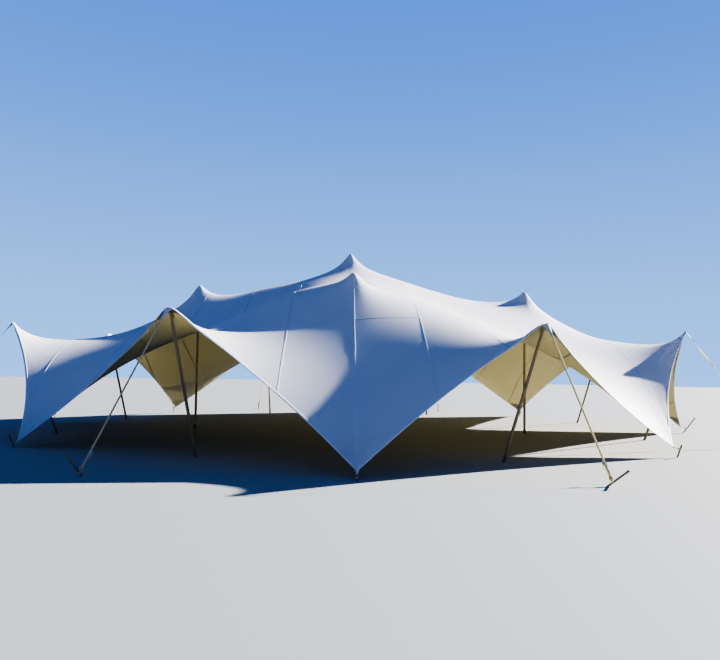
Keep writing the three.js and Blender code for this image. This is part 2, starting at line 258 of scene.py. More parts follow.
class SheetShape:
    """The height law of the rigged sheet, shared with the CAD cloth.

    The sheet hangs as an evenly tensioned skin. Its height is a constant plus, for each point that
    holds it, a strength times half the logarithm of the squared distance from that point, rounded off
    close by. The strengths sum to zero and make the sheet pass through every hold.
    """

    STRIP = 1.45
    HEM_DIP = 0.25
    PEAK_ROUNDING = 0.12
    TAUT_ROUNDING = 1.2
    HOLDS_PER_HEM = 7
    HOLD_OFFSET = 0.5
    WING_SEAM = 5.0
    EDGE_SEAM = 7.0
    ROW_ENDS = ((-7.25, 0.9), (7.5, 0.4))
    KING_SEAMS = (-5.0, -3.25, 0.0, 3.6, 5.0)

    # The height of the billows, the height, reach and least number of the pleats, and how far past
    # a corner its pleats meet.
    BILLOW = 0.004
    PEAK_PLEATS = (0.0035, 0.75, 9)
    CORNER_PLEATS = (0.006, 1.1, 21)
    CORNER_OFFSET = 0.15

    def __init__(self) -> None:
        """Reads the peaks and corners of the CAD cloth and solves for the strengths."""
        cloth = cad_points(*nodes_with("cloth"))
        self.corners = {name: self._corner(cloth, name) for name in EDGE_ROUND}
        self.peaks = {name: self._peak(cloth, Member.of_node(f"king_pole_{name}")) for name in KINGS}
        row = [self.peaks[name][:2] for name in ("left", "centre", "right")]
        self.king_row = np.array([self.ROW_ENDS[0], *row, self.ROW_ENDS[1]])
        self._solve()

    def _corner(self, cloth: Array, name: str) -> Array:
        """The corner of the cloth's top face that lies nearest to the end of its strap."""
        strap = cad_points(edge_node(name, "strap"))
        return self._top_at(cloth, np.linalg.norm(cloth[:, None] - strap, axis=2).min(axis=1))

    def _peak(self, cloth: Array, pole: Member) -> Array:
        """The point of the cloth's top face over a king pole."""
        return self._top_at(cloth, np.hypot(*(cloth[:, :2] - pole.high[:2]).T))

    @staticmethod
    def _top_at(cloth: Array, gaps: Array) -> Array:
        """The highest corner of the cloth within a millimetre in plan of the one with the least gap.

        Args:
            cloth: Corners of the cloth.
            gaps: How far each lies from what is looked for.

        Returns:
            The corner.
        """
        place = cloth[gaps.argmin()][:2]
        near = cloth[np.hypot(*(cloth[:, :2] - place).T) < MILLIMETRE]
        return near[near[:, 2].argmax()]

    def hem_points(self, start: str, end: str, share: Array) -> Array:
        """Plan places along one hem span.

        The chord from corner to corner is bowed inwards by a parabola of share and 1 - share.

        Args:
            start: Edge point where the span begins.
            end: Edge point where it ends.
            share: How far along the span each place lies, from 0 to 1.

        Returns:
            An array of x and y.
        """
        first, last = self.corners[start][:2], self.corners[end][:2]
        inwards = unit(np.array([last[1] - first[1], first[0] - last[0]]))
        if inwards @ first > 0:
            inwards = -inwards
        share = share[..., None]
        return first + (last - first) * share + inwards * 4.0 * share * (1.0 - share) * self.HEM_DIP

    def border(self, steps: int) -> Array:
        """Plan places round the whole border, with a number of steps to each hem span."""
        share = np.arange(steps) / steps
        return np.vstack([self.hem_points(start, end, share) for start, end in SPANS])

    def along_hem(self, hem: Sequence[str], share: Array) -> Array:
        """Plan places along a whole hem, whose edge points come at even shares.

        Args:
            hem: The edge points in turn.
            share: How far along the hem each place lies, from 0 to 1.

        Returns:
            An array of x and y.
        """
        spans = len(hem) - 1
        span = np.minimum((share * spans).astype(int), spans - 1)
        places = np.zeros(share.shape + (2,))
        for index in range(spans):
            chosen = span == index
            places[chosen] = self.hem_points(hem[index], hem[index + 1], share[chosen] * spans - index)
        return places

    def plan(self, seam: Array, row: Array) -> Array:
        """Plan places of the sheet's own coordinates.

        Seam numbers count cloth strips from the middle, and rows run from the front hem at 0 over the
        king poles at 0.5 to the back hem at 1. Past the wing seams the rows run on to the side hems.

        Args:
            seam: Seam numbers.
            row: Rows, of the same shape.

        Returns:
            An array of x and y.
        """
        inner = np.clip(seam, -self.WING_SEAM, self.WING_SEAM)
        share = (inner + self.WING_SEAM) / (2.0 * self.WING_SEAM)
        middle = np.stack([np.interp(inner, self.KING_SEAMS, line) for line in self.king_row.T], axis=-1)
        is_front = (row <= 0.5)[..., None]
        hem = np.where(is_front, self.along_hem(FRONT_HEM, share), self.along_hem(BACK_HEM, share))
        place = middle + (hem - middle) * np.abs(2.0 * row - 1.0)[..., None]
        side = np.where((seam < 0)[..., None], self.along_hem(LEFT_HEM, row), self.along_hem(RIGHT_HEM, row))
        return place + (side - place) * (np.abs(seam - inner) / (self.EDGE_SEAM - self.WING_SEAM))[..., None]

    def _solve(self) -> None:
        """Gathers the holds and solves the linear equations for their strengths."""
        inner = np.array([*self.peaks.values(), *TAUT_PLACES])
        outer = self.border(self.HOLDS_PER_HEM)
        corners = np.array([self.corners[name][2] for name in EDGE_ROUND])[:, None]
        share = np.arange(self.HOLDS_PER_HEM) / self.HOLDS_PER_HEM
        heights = np.append(inner[:, 2], corners + (np.roll(corners, -1) - corners) * share)
        count = len(heights)
        self.sources = np.vstack([inner[:, :2], outer + unit(outer) * self.HOLD_OFFSET])
        self.rounding = np.full(count, self.PEAK_ROUNDING)
        self.rounding[len(KINGS):len(inner)] = self.TAUT_ROUNDING
        equations = np.ones((count + 1, count + 1))
        equations[:count, :count] = self._pulls(np.vstack([inner[:, :2], outer]))
        equations[count, count] = 0.0
        solution = np.linalg.solve(equations, np.append(heights, 0.0))
        self.strengths, self.level = solution[:count], solution[count]

    def _pulls(self, places: Array) -> Array:
        """Half the logarithm of the rounded squared distance from every place to every hold."""
        squares = ((places[..., None, :] - self.sources) ** 2).sum(axis=-1) + self.rounding ** 2
        return 0.5 * np.log(squares / self.STRIP ** 2)

    def height(self, places: Array) -> Array:
        """Height of the sheet's top face over plan places."""
        return self._pulls(places) @ self.strengths + self.level

    def normal(self, places: Array) -> Array:
        """Upward normal of the sheet, from the slope of the height law.

        Args:
            places: Plan places.

        Returns:
            Unit vectors.
        """
        away = places[..., None, :] - self.sources
        weight = self.strengths / ((away ** 2).sum(axis=-1) + self.rounding ** 2)
        slope = (away * weight[..., None]).sum(axis=-2)
        return unit(np.concatenate([-slope, np.ones(slope.shape[:-1] + (1,))], axis=-1))

    def surface(self, places: Array, lift: float | Array = 0.0) -> Array:
        """Points over plan places, moved along the sheet's normal by its relief and a lift."""
        points = np.concatenate([places, self.height(places)[..., None]], axis=-1)
        return points + self.normal(places) * (self.relief(places) + lift)[..., None]

    def relief(self, places: Array) -> Array:
        """How far the cloth stands out along its normal from the height law, by billows and pleats.

        Args:
            places: Plan places.

        Returns:
            Distances in metres.
        """
        x, y = places[..., 0], places[..., 1]
        billow = np.sin(1.9 * x + 0.8 * np.sin(1.3 * y)) * np.sin(1.55 * y + 0.7 * np.sin(1.7 * x))
        total = self.BILLOW * billow
        for index, peak in enumerate(self.peaks.values()):
            total = total + self._pleats(places - peak[:2], *self.PEAK_PLEATS, index % 2, 1.7 * index)
        for index, corner in enumerate(self.corners.values()):
            pull = corner[:2] * (1.0 + self.CORNER_OFFSET / np.linalg.norm(corner[:2]))
            total = total + self._pleats(places - pull, *self.CORNER_PLEATS, index % 3, 2.3 * index)
        return total

    @staticmethod
    def _pleats(away: Array, size: float, reach: float, count: int, more: int, phase: float) -> Array:
        """Radial pleats round a point that pulls the cloth.

        The size is multiplied by two waves round the point and by a bell in the distance, which is
        zero at the point and dies out past the reach.

        Args:
            away: Places seen from the point.
            size: Height of the pleats.
            reach: How far from the point they spread.
            count: The least number of waves.
            more: How many waves are added to it.
            phase: Angle by which the waves are turned.

        Returns:
            Heights over the places.
        """
        angle = np.arctan2(away[..., 1], away[..., 0])
        count += more
        waves = 0.6 * np.sin(count * angle + phase) + 0.4 * np.sin((count * 2 - 5) * angle - phase)
        share = np.hypot(away[..., 0], away[..., 1]) / reach
        return size * waves * share * np.exp(1.0 - share ** 2 * 1.4 - share * 0.4)


# Shader maths

def maths(operation: str, is_reflected: bool = False) -> Callable[..., "Wire"]:
    """Makes a method of Wire.

    Args:
        operation: What the Math node does.
        is_reflected: Whether the wire comes second, as in a reflected operator.

    Returns:
        A method that adds one Math node.
    """
    def method(self: "Wire", *others: "Wire | float") -> "Wire":
        """Adds the node, fed by this wire and the other value if there is one."""
        values = (*others, self) if is_reflected else (self, *others)
        return self.tree.node("ShaderNodeMath", {"operation": operation}, dict(enumerate(values)))

    return method


class Wire:
    """An output socket whose arithmetic adds Math nodes to the tree."""

    def __init__(self, tree: "Tree", socket: bpy.types.NodeSocket) -> None:
        """Wraps one socket of a tree."""
        self.tree = tree
        self.socket = socket

    __add__ = __radd__ = maths("ADD")
    __mul__ = __rmul__ = maths("MULTIPLY")
    __sub__ = maths("SUBTRACT")
    __rsub__ = maths("SUBTRACT", is_reflected=True)
    __abs__ = maths("ABSOLUTE")
    sine = maths("SINE")

    def step(self, low: float, high: float) -> "Wire":
        """Smooth step from 0 at low to 1 at high."""
        inputs = {"Value": self, "From Min": low, "From Max": high}
        return self.tree.node("ShaderNodeMapRange", {"interpolation_type": "SMOOTHSTEP"}, inputs)


class Tree:
    """The node tree of a procedural material or of the world, grown node by node."""

    # Numbers of the Mix node's sockets: the share, the two colours, and the mixed colour.
    MIX_SHARE, MIX_LOW, MIX_HIGH, MIX_RESULT = 0, 6, 7, 2

    def __init__(self, owner: bpy.types.Material | bpy.types.World) -> None:
        """Empties the tree of a new material or world.

        Args:
            owner: The material or world.
        """
        self.owner = owner
        self.owner.use_nodes = True
        self.nodes = owner.node_tree.nodes
        self.links = owner.node_tree.links
        self.nodes.clear()

    def node(self, kind: str, settings: dict[str, Any] | None = None,
             inputs: dict[str | int, Any] | None = None, output: str | int = 0) -> Wire:
        """Adds any node.

        Args:
            kind: The node's type.
            settings: Properties, set before the inputs.
            inputs: Values or wires by socket name or number.
            output: Name or number of the output wanted.

        Returns:
            The output as a wire.
        """
        made = self.nodes.new(kind)
        for key, value in (settings or {}).items():
            setattr(made, key, value)
        for key, value in (inputs or {}).items():
            if isinstance(value, Wire):
                self.links.new(value.socket, made.inputs[key])
            else:
                made.inputs[key].default_value = value
        return Wire(self, made.outputs[output])

    def place(self) -> Wire:
        """Object coordinates in metres."""
        return self.node("ShaderNodeTexCoord", output="Object")

    def grain(self) -> Wire:
        """The piece's own coordinates, which its mesh keeps as an attribute."""
        return self.node("ShaderNodeAttribute", {"attribute_name": "grain"}, output="Vector")

    def parts(self, vector: Wire) -> list[Wire]:
        """The three numbers of a vector."""
        split = self.node("ShaderNodeSeparateXYZ", inputs={0: vector})
        return [Wire(self, output) for output in split.socket.node.outputs]

    def stretched(self, vector: Wire, scale: tuple[float, float, float]) -> Wire:
        """A vector with each axis scaled on its own."""
        return self.node("ShaderNodeMapping", inputs={"Vector": vector, "Scale": scale})

    def noise(self, vector: Wire, scale: float, detail: float = 3.0, roughness: float = 0.5) -> Wire:
        """Noise from 0 to 1 with a scale in cells per unit of the vector."""
        inputs = {"Vector": vector, "Scale": scale, "Detail": detail, "Roughness": roughness}
        return self.node("ShaderNodeTexNoise", inputs=inputs)

    def knit(self) -> Wire:
        """The fine grain of knitted cloth, from 0 to 1."""
        return self.noise(self.stretched(self.place(), (420.0, 300.0, 420.0)), 1.0, 1.0)

    def mix(self, share: Wire | float, low: Wire | Rgb, high: Wire | Rgb) -> Wire:
        """A colour between two colours.

        Args:
            share: How much of the second colour is taken, from 0 to 1.
            low: The first colour.
            high: The second colour.

        Returns:
            The mixed colour.
        """
        low, high = (value if isinstance(value, Wire) else (*value, 1.0) for value in (low, high))
        inputs = {self.MIX_SHARE: share, self.MIX_LOW: low, self.MIX_HIGH: high}
        return self.node("ShaderNodeMix", {"data_type": "RGBA"}, inputs, self.MIX_RESULT)

    def bump(self, height: Wire, strength: float, distance: float) -> Wire:
        """A normal bent by a height; distance is the height's size in metres."""
        inputs = {"Strength": strength, "Distance": distance, "Height": height}
        return self.node("ShaderNodeBump", inputs=inputs)

    def surface(self, **inputs: Any) -> Wire:
        """The Principled surface, whose sockets are named with underscores for spaces."""
        named = {key.replace("_", " "): value for key, value in inputs.items()}
        return self.node("ShaderNodeBsdfPrincipled", inputs=named)

    def lit_through(self, body: Wire, glow: Rgb, share: float) -> Wire:
        """A surface that also lets a share of the light behind it glow through."""
        through = self.node("ShaderNodeBsdfTranslucent", inputs={"Color": (*glow, 1.0)})
        return self.node("ShaderNodeMixShader", inputs={0: share, 1: body, 2: through})

    def finish(self, shader: Wire) -> bpy.types.Material | bpy.types.World:
        """Ends the tree in its output node.

        Args:
            shader: The finished surface or background.

        Returns:
            The material or world.
        """
        kind = "World" if isinstance(self.owner, bpy.types.World) else "Material"
        end = self.nodes.new(f"ShaderNodeOutput{kind}")
        self.links.new(shader.socket, end.inputs["Surface"])
        return self.owner


# Finishes

@dataclass(frozen=True)
class ClothFinish:
    """Coated stretch cloth: matt and faintly mottled, with a knit grain and dust towards the ground."""

    colour: Rgb
    mottle: Rgb
    dust: Rgb
    glow: Rgb
    glow_share: float
    roughness: float = 0.62
    dust_height: float = 0.9

    def grow(self, tree: Tree) -> Wire:
        """Grows the shader.

        Args:
            tree: The material's empty tree.

        Returns:
            The finished surface.
        """
        place = tree.place()
        clouds = tree.noise(place, 0.7, 4.0, 0.6)
        fine = tree.noise(place, 9.0, 3.0, 0.6)
        low = 1 - tree.parts(place)[2].step(0.0, self.dust_height)
        base = tree.mix(clouds.step(0.3, 0.75) * 0.5 + fine * 0.3, self.colour, self.mottle)
        colour = tree.mix(low * clouds.step(0.35, 0.75) * 0.55, base, self.dust)
        bump = tree.bump(tree.knit() * 0.5 + fine, 0.25, 0.0015)
        body = tree.surface(Base_Color=colour, Roughness=self.roughness + fine * 0.12, Normal=bump,
                            Sheen_Weight=0.15, Specular_IOR_Level=0.35)
        return tree.lit_through(body, self.glow, self.glow_share)


@dataclass(frozen=True)
class SewnFinish:
    """Folded cloth sewn down with two rows of stitches, on the band's own coordinates."""

    colour: Rgb
    shade: Rgb
    thread: Rgb
    row: float = 0.011
    pitch: float = 0.009
    thread_width: float = 0.0016

    def grow(self, tree: Tree) -> Wire:
        """Grows the shader; the grain holds across the band first, then along it.

        Args:
            tree: The material's empty tree.

        Returns:
            The finished surface.
        """
        across, along, _ = tree.parts(tree.grain())
        rows = 1 - abs(abs(across) - self.row).step(self.thread_width * 0.5, self.thread_width)
        stitch = rows * (along * (math.tau / self.pitch)).sine().step(-0.5, -0.2)
        clouds = tree.noise(tree.place(), 5.0, 4.0, 0.6)
        base = tree.mix(clouds.step(0.3, 0.75) * 0.6, self.colour, self.shade)
        colour = tree.mix(stitch * 0.8, base, self.thread)
        bump = tree.bump(stitch * 2.0 + tree.knit() * 0.5 + clouds * 0.5, 0.4, 0.0012)
        return tree.surface(Base_Color=colour, Roughness=0.66 + clouds * 0.1, Normal=bump)


@dataclass(frozen=True)
class TimberFinish:
    """Pine poles: long grain, knots and worn lighter streaks, on the pole's own coordinates."""

    dark: Rgb
    light: Rgb
    worn: Rgb
    roughness: float = 0.5

    def grow(self, tree: Tree) -> Wire:
        """Grows the shader.

        Args:
            tree: The material's empty tree.

        Returns:
            The finished surface.
        """
        grain = tree.grain()
        streaks = tree.noise(tree.stretched(grain, (60.0, 60.0, 1.6)), 1.0, 5.0, 0.65)
        fibres = tree.noise(tree.stretched(grain, (400.0, 400.0, 6.0)), 1.0, 2.0)
        knots = tree.node("ShaderNodeTexVoronoi", inputs={
            "Vector": tree.stretched(grain, (16.0, 16.0, 2.2)), "Scale": 1.0, "Randomness": 1.0})
        wear = tree.noise(grain, 3.0, 4.0, 0.7).step(0.58, 0.72)
        base = tree.mix(streaks.step(0.3, 0.7), self.dark, self.light)
        shade = tree.mix(wear * 0.5, base, self.worn)
        colour = tree.mix((1 - knots.step(0.05, 0.22)) * 0.8, shade, self.dark)
        bump = tree.bump(streaks + fibres * 0.4, 0.4, 0.002)
        return tree.surface(Base_Color=colour, Roughness=self.roughness + fibres * 0.2, Normal=bump)


@dataclass(frozen=True)
class WebbingFinish:
    """Pale polyester webbing: a ribbed weave along the strap, with two darker selvedge lines. Its warm beige
    is partly the webbing's own colour and partly painted sunlight, for straps that lie in shade.
    """

    # The webbing's beige pushed warmer and paler: partly painted sunlight, so that straps in shade still
    # look beige.
    colour: Rgb = (0.95, 0.83, 0.52)
    line: Rgb = (0.66, 0.56, 0.36)
    soil: Rgb = (0.55, 0.47, 0.32)
    glow: Rgb = (1.0, 0.88, 0.6)
    glow_share: float = 0.45
    rib: float = 0.0035
    half_width: float = 0.02

    def grow(self, tree: Tree) -> Wire:
        """Grows the shader.

        Args:
            tree: The material's empty tree.

        Returns:
            The finished surface.
        """
        across, along, _ = tree.parts(tree.grain())
        warp, ribs = [(way * (math.tau / self.rib)).sine() * 0.5 + 0.5 for way in (across, along)]
        weave = ribs * 0.6 + warp * 0.4
        edge = abs(across).step(self.half_width * 0.72, self.half_width * 0.8)
        base = tree.mix(edge * 0.5 + weave * 0.15, self.colour, self.line)
        colour = tree.mix(tree.noise(tree.place(), 4.0, 3.0).step(0.5, 0.8) * 0.4, base, self.soil)
        body = tree.surface(Base_Color=colour, Roughness=0.85, Normal=tree.bump(weave, 0.5, 0.0008))
        return tree.lit_through(body, self.glow, self.glow_share)


@dataclass(frozen=True)
class SteelFinish:
    """Steel bar under worn paint or zinc: scuffed, with bare and rusty spots."""

    paint: Rgb
    bare: Rgb
    metallic: float
    roughness: float = 0.5
    rust: Rgb = (0.16, 0.065, 0.03)

    def grow(self, tree: Tree) -> Wire:
        """Grows the shader.

        Args:
            tree: The material's empty tree.

        Returns:
            The finished surface.
        """
        place = tree.place()
        scuffs = tree.noise(place, 35.0, 5.0, 0.7)
        spots = tree.noise(place, 90.0, 3.0, 0.6)
        base = tree.mix(scuffs.step(0.56, 0.7) * 0.6, self.paint, self.bare)
        colour = tree.mix(spots.step(0.62, 0.72) * 0.7, base, self.rust)
        bump = tree.bump(scuffs + spots * 0.5, 0.35, 0.001)
        return tree.surface(Base_Color=colour, Roughness=self.roughness + scuffs * 0.25,
                            Metallic=self.metallic * (1 - spots.step(0.6, 0.7)), Normal=bump)


@dataclass(frozen=True)
class FloorFinish:
    """Pale studio floor without any texture."""

    colour: Rgb = (0.36, 0.37, 0.35)

    def grow(self, tree: Tree) -> Wire:
        """Grows the shader."""
        return tree.surface(Base_Color=(*self.colour, 1.0), Roughness=0.9)


@dataclass(frozen=True)
class BackdropFinish:
    """Even glow of the backdrop, palest at the floor and a fuller blue overhead."""

    low: Rgb = (0.3, 0.56, 1.0)
    high: Rgb = (0.11, 0.27, 0.75)
    height: float = 110.0

    def grow(self, tree: Tree) -> Wire:
        """Grows the shader.

        Args:
            tree: The material's empty tree.

        Returns:
            The finished surface.
        """
        height = tree.parts(tree.place())[2]
        colour = tree.mix(height.step(-0.15 * self.height, self.height), self.low, self.high)
        return tree.node("ShaderNodeEmission", inputs={"Color": colour})


FINISHES = {
    "cloth_top": ClothFinish((0.86, 0.85, 0.84), (0.81, 0.8, 0.785), (0.5, 0.45, 0.35),
                             (0.85, 0.82, 0.62), 0.2),
    "cloth_under": ClothFinish((0.44, 0.4, 0.285), (0.38, 0.345, 0.245), (0.27, 0.24, 0.165),
                               (0.82, 0.74, 0.42), 0.37, roughness=0.75),
    "sewn_seam": SewnFinish((0.78, 0.77, 0.76), (0.7, 0.69, 0.68), (0.46, 0.45, 0.44)),
    "sewn_seam_under": SewnFinish((0.46, 0.42, 0.3), (0.4, 0.36, 0.25), (0.62, 0.58, 0.46)),
    "sewn_hem": SewnFinish((0.84, 0.83, 0.82), (0.78, 0.77, 0.75), (0.6, 0.58, 0.55)),
    # The king poles' timber is a lighter copy of the edge poles' timber: painted light that stands in for
    # the glow the canopy sheds on them.
    "new_timber": TimberFinish((0.55, 0.42, 0.25), (0.86, 0.7, 0.45), (0.9, 0.78, 0.56)),
    "weathered_timber": TimberFinish((0.25, 0.175, 0.1), (0.5, 0.38, 0.22), (0.6, 0.49, 0.32)),
    "webbing": WebbingFinish(),
    "stake_steel": SteelFinish((0.3, 0.255, 0.18), (0.46, 0.43, 0.37), metallic=0.35),
    "zinc_steel": SteelFinish((0.62, 0.6, 0.56), (0.7, 0.68, 0.64), metallic=0.4, roughness=0.45),
    "studio_floor": FloorFinish(),
    "studio_backdrop": BackdropFinish(),
}


@cache
def material(name: str) -> bpy.types.Material:
    """The material of a named finish, grown when it is first asked for."""
    tree = Tree(bpy.data.materials.new(name))
    return tree.finish(FINISHES[name].grow(tree))


# Meshes

def placed(name: str, data: Any) -> bpy.types.Object:
    """Puts a new object into the scene.

    Args:
        name: Its name.
        data: Its mesh, lamp or camera.

    Returns:
        The object.
    """
    thing = bpy.data.objects.new(name, data)
    bpy.context.scene.collection.objects.link(thing)
    return thing


def announce(piece: bpy.types.Object, slot: str, *nodes: str) -> bpy.types.Object:
    """Makes a finished piece ride on the tent, and logs it.

    Args:
        piece: The piece.
        slot: Its material slot; not used.
        nodes: Names of the CAD nodes that it stands for, if any.

    Returns:
        The piece.
    """
    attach(piece, BODY)
    if nodes:
        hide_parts(*nodes)
    log.info("%s: %d faces", piece.name, len(piece.data.polygons))
    return piece


class Patchwork:
    """Gathers grids of points into one mesh.

    Each grid brings a material number and, where its finish follows the piece, a grain vector for
    every point, which the mesh keeps as the attribute that the finish reads.
    """

    WELD = 0.00002
    SHARP = math.radians(40.0)

    def __init__(self, name: str) -> None:
        """Starts an empty patchwork.

        Args:
            name: Name of the object that it becomes.
        """
        self.name = name
        self.patches: list[tuple[Array, Array, list[list[int]], list[int]]] = []
        self.count = 0

    def grid(self, points: Array, grain: Array | None = None, closed: bool = False, slot: int = 0) -> None:
        """Adds a grid of points and its square faces.

        Args:
            points: Array of rows by columns by three.
            grain: Array of the same shape for the finish, or nothing for the points themselves.
            closed: Whether the last column joins the first.
            slot: Material number of the faces.
        """
        index = self.count + np.arange(points.size // 3).reshape(points.shape[:2])
        if closed:
            index = np.concatenate([index, index[:, :1]], axis=1)
        squares = np.stack([index[:-1, :-1], index[:-1, 1:], index[1:, 1:], index[1:, :-1]], axis=-1)
        faces = squares.reshape(-1, 4).tolist()
        flat = points.reshape(-1, 3)
        grain = flat if grain is None else grain.reshape(-1, 3)
        self.patches.append((flat, grain, faces, [slot] * len(faces)))
        self.count += len(flat)

    def slab(self, top: Array, under: Array, under_slot: int = 0, is_round: bool = False) -> None:
        """Adds a thin closed sheet between two grids.

        Args:
            top: The upper grid of points.
            under: The lower grid, of the same shape.
            under_slot: Material number of the lower face.
            is_round: Whether the rows are rings, from a middle point outwards, so that only the last
                one gets a rim.
        """
        self.grid(top)
        self.grid(under, slot=under_slot)
        edges = [np.s_[-1]] if is_round else [np.s_[0], np.s_[-1], np.s_[:, 0], np.s_[:, -1]]
        for edge in edges:
            self.grid(np.stack([top[edge], under[edge]]))

    def turned(self, foot: Array, axis: Array, profile: Array, sides: int,
               moved: Array | float = 0.0) -> None:
        """Turns an outline round a leaning axis, and cuts it off level with the ground.

        A point is the foot plus the axis times the outline's distance plus a spoke times its radius.
        A point below the ground, and every point at distance 0, is slid along the axis to the ground.

        Args:
            foot: Where the axis meets the ground.
            axis: Unit vector along the axis.
            profile: The outline, as pairs of radius and distance.
            sides: How many spokes there are.
            moved: How far the finish's pattern is moved, so that no two pieces look the same.
        """
        radius, distance = profile[:, :1], profile[:, 1:]
        first = unit(np.cross(axis, (1.0, 0.0, 0.0)))
        turn = circle(1.0, sides)
        out = turn @ [first, np.cross(axis, first)]
        points = foot + axis * distance[..., None] + out * radius[..., None]
        slide = np.where(distance == 0.0, points[..., 2], np.minimum(points[..., 2], 0.0))
        points = points - axis * (slide / axis[2])[..., None]
        grain = np.stack([radius * turn[:, 0], radius * turn[:, 1], distance + 0.0 * slide], axis=-1)
        self.grid(points, grain + moved, closed=True)

    def swept(self, path: Array, side: Array, lift: Array, profile: Array,
              distance: Array | None = None, is_loop: bool = False) -> None:
        """Carries a closed outline along a path.

        A point is the path's point plus the outline's first number times the side vector plus its
        second number times the lift vector. Its grain is across, along and through the band.

        Args:
            path: Points of the path.
            side: Sideways unit vector, one or one for each point of the path.
            lift: Unit vector away from the path, one or one for each point.
            profile: The outline, as pairs of numbers, or one outline for each point of the path.
            distance: How far along the band each point lies, or nothing for the path's own lengths.
            is_loop: Whether the end joins the start; otherwise both are capped.
        """
        side, lift = np.broadcast_to(side, path.shape), np.broadcast_to(lift, path.shape)
        if is_loop:
            path, side, lift = (np.concatenate([rows, rows[:1]]) for rows in (path, side, lift))
        if distance is None:
            distance = np.append(0.0, np.cumsum(np.linalg.norm(np.diff(path, axis=0), axis=1)))
        outlines = np.broadcast_to(profile, (len(path),) + profile.shape[-2:])
        points = path[:, None] + side[:, None] * outlines[..., :1] + lift[:, None] * outlines[..., 1:]
        along = np.broadcast_to(distance[:, None], outlines.shape[:-1])
        grain = np.stack([outlines[..., 0], along, outlines[..., 1]], axis=-1)
        if not is_loop:
            points, grain = self._capped(points), self._capped(grain)
        self.grid(points, grain, closed=True)

    @staticmethod
    def _capped(rings: Array) -> Array:
        """Rings with one more at each end, shrunk to the middle of the last one."""
        middles = np.broadcast_to(rings.mean(axis=1, keepdims=True), rings.shape)
        return np.concatenate([middles[:1], rings, middles[-1:]])

    def build(self, *finishes: str) -> bpy.types.Object:
        """Makes the mesh object.

        Args:
            finishes: Names of the finishes, by material number.

        Returns:
            The object, with welded corners, and with faces pointing outwards where it is closed.
        """
        points, grain, faces, slots = zip(*self.patches)
        mesh = bpy.data.meshes.new(self.name)
        mesh.from_pydata(np.vstack(points).tolist(), [], sum(faces, []))
        kept = mesh.attributes.new("grain", "FLOAT_VECTOR", "POINT")
        kept.data.foreach_set("vector", np.vstack(grain).ravel())
        mesh.polygons.foreach_set("material_index", sum(slots, []))
        shell = bmesh.new()
        shell.from_mesh(mesh)
        bmesh.ops.remove_doubles(shell, verts=shell.verts, dist=self.WELD)
        bmesh.ops.recalc_face_normals(shell, faces=shell.faces)
        shell.to_mesh(mesh)
        shell.free()
        for name in finishes:
            mesh.materials.append(material(name))
        mesh.polygons.foreach_set("use_smooth", np.ones(len(mesh.polygons), bool))
        mesh.set_sharp_from_angle(angle=self.SHARP)
        return placed(self.name, mesh)


# The sheet and everything sewn to it

@dataclass(frozen=True)
class Face:
    """One face of the sheet: how its trimmings' names end, its finishes, and 1 above or -1 below."""

    ending: str
    cloth: str
    seam: str
    side: float


FACES = (
    Face("", "cloth_top", "sewn_seam", 1.0),
    Face("_under", "cloth_under", "sewn_seam_under", -1.0),
)


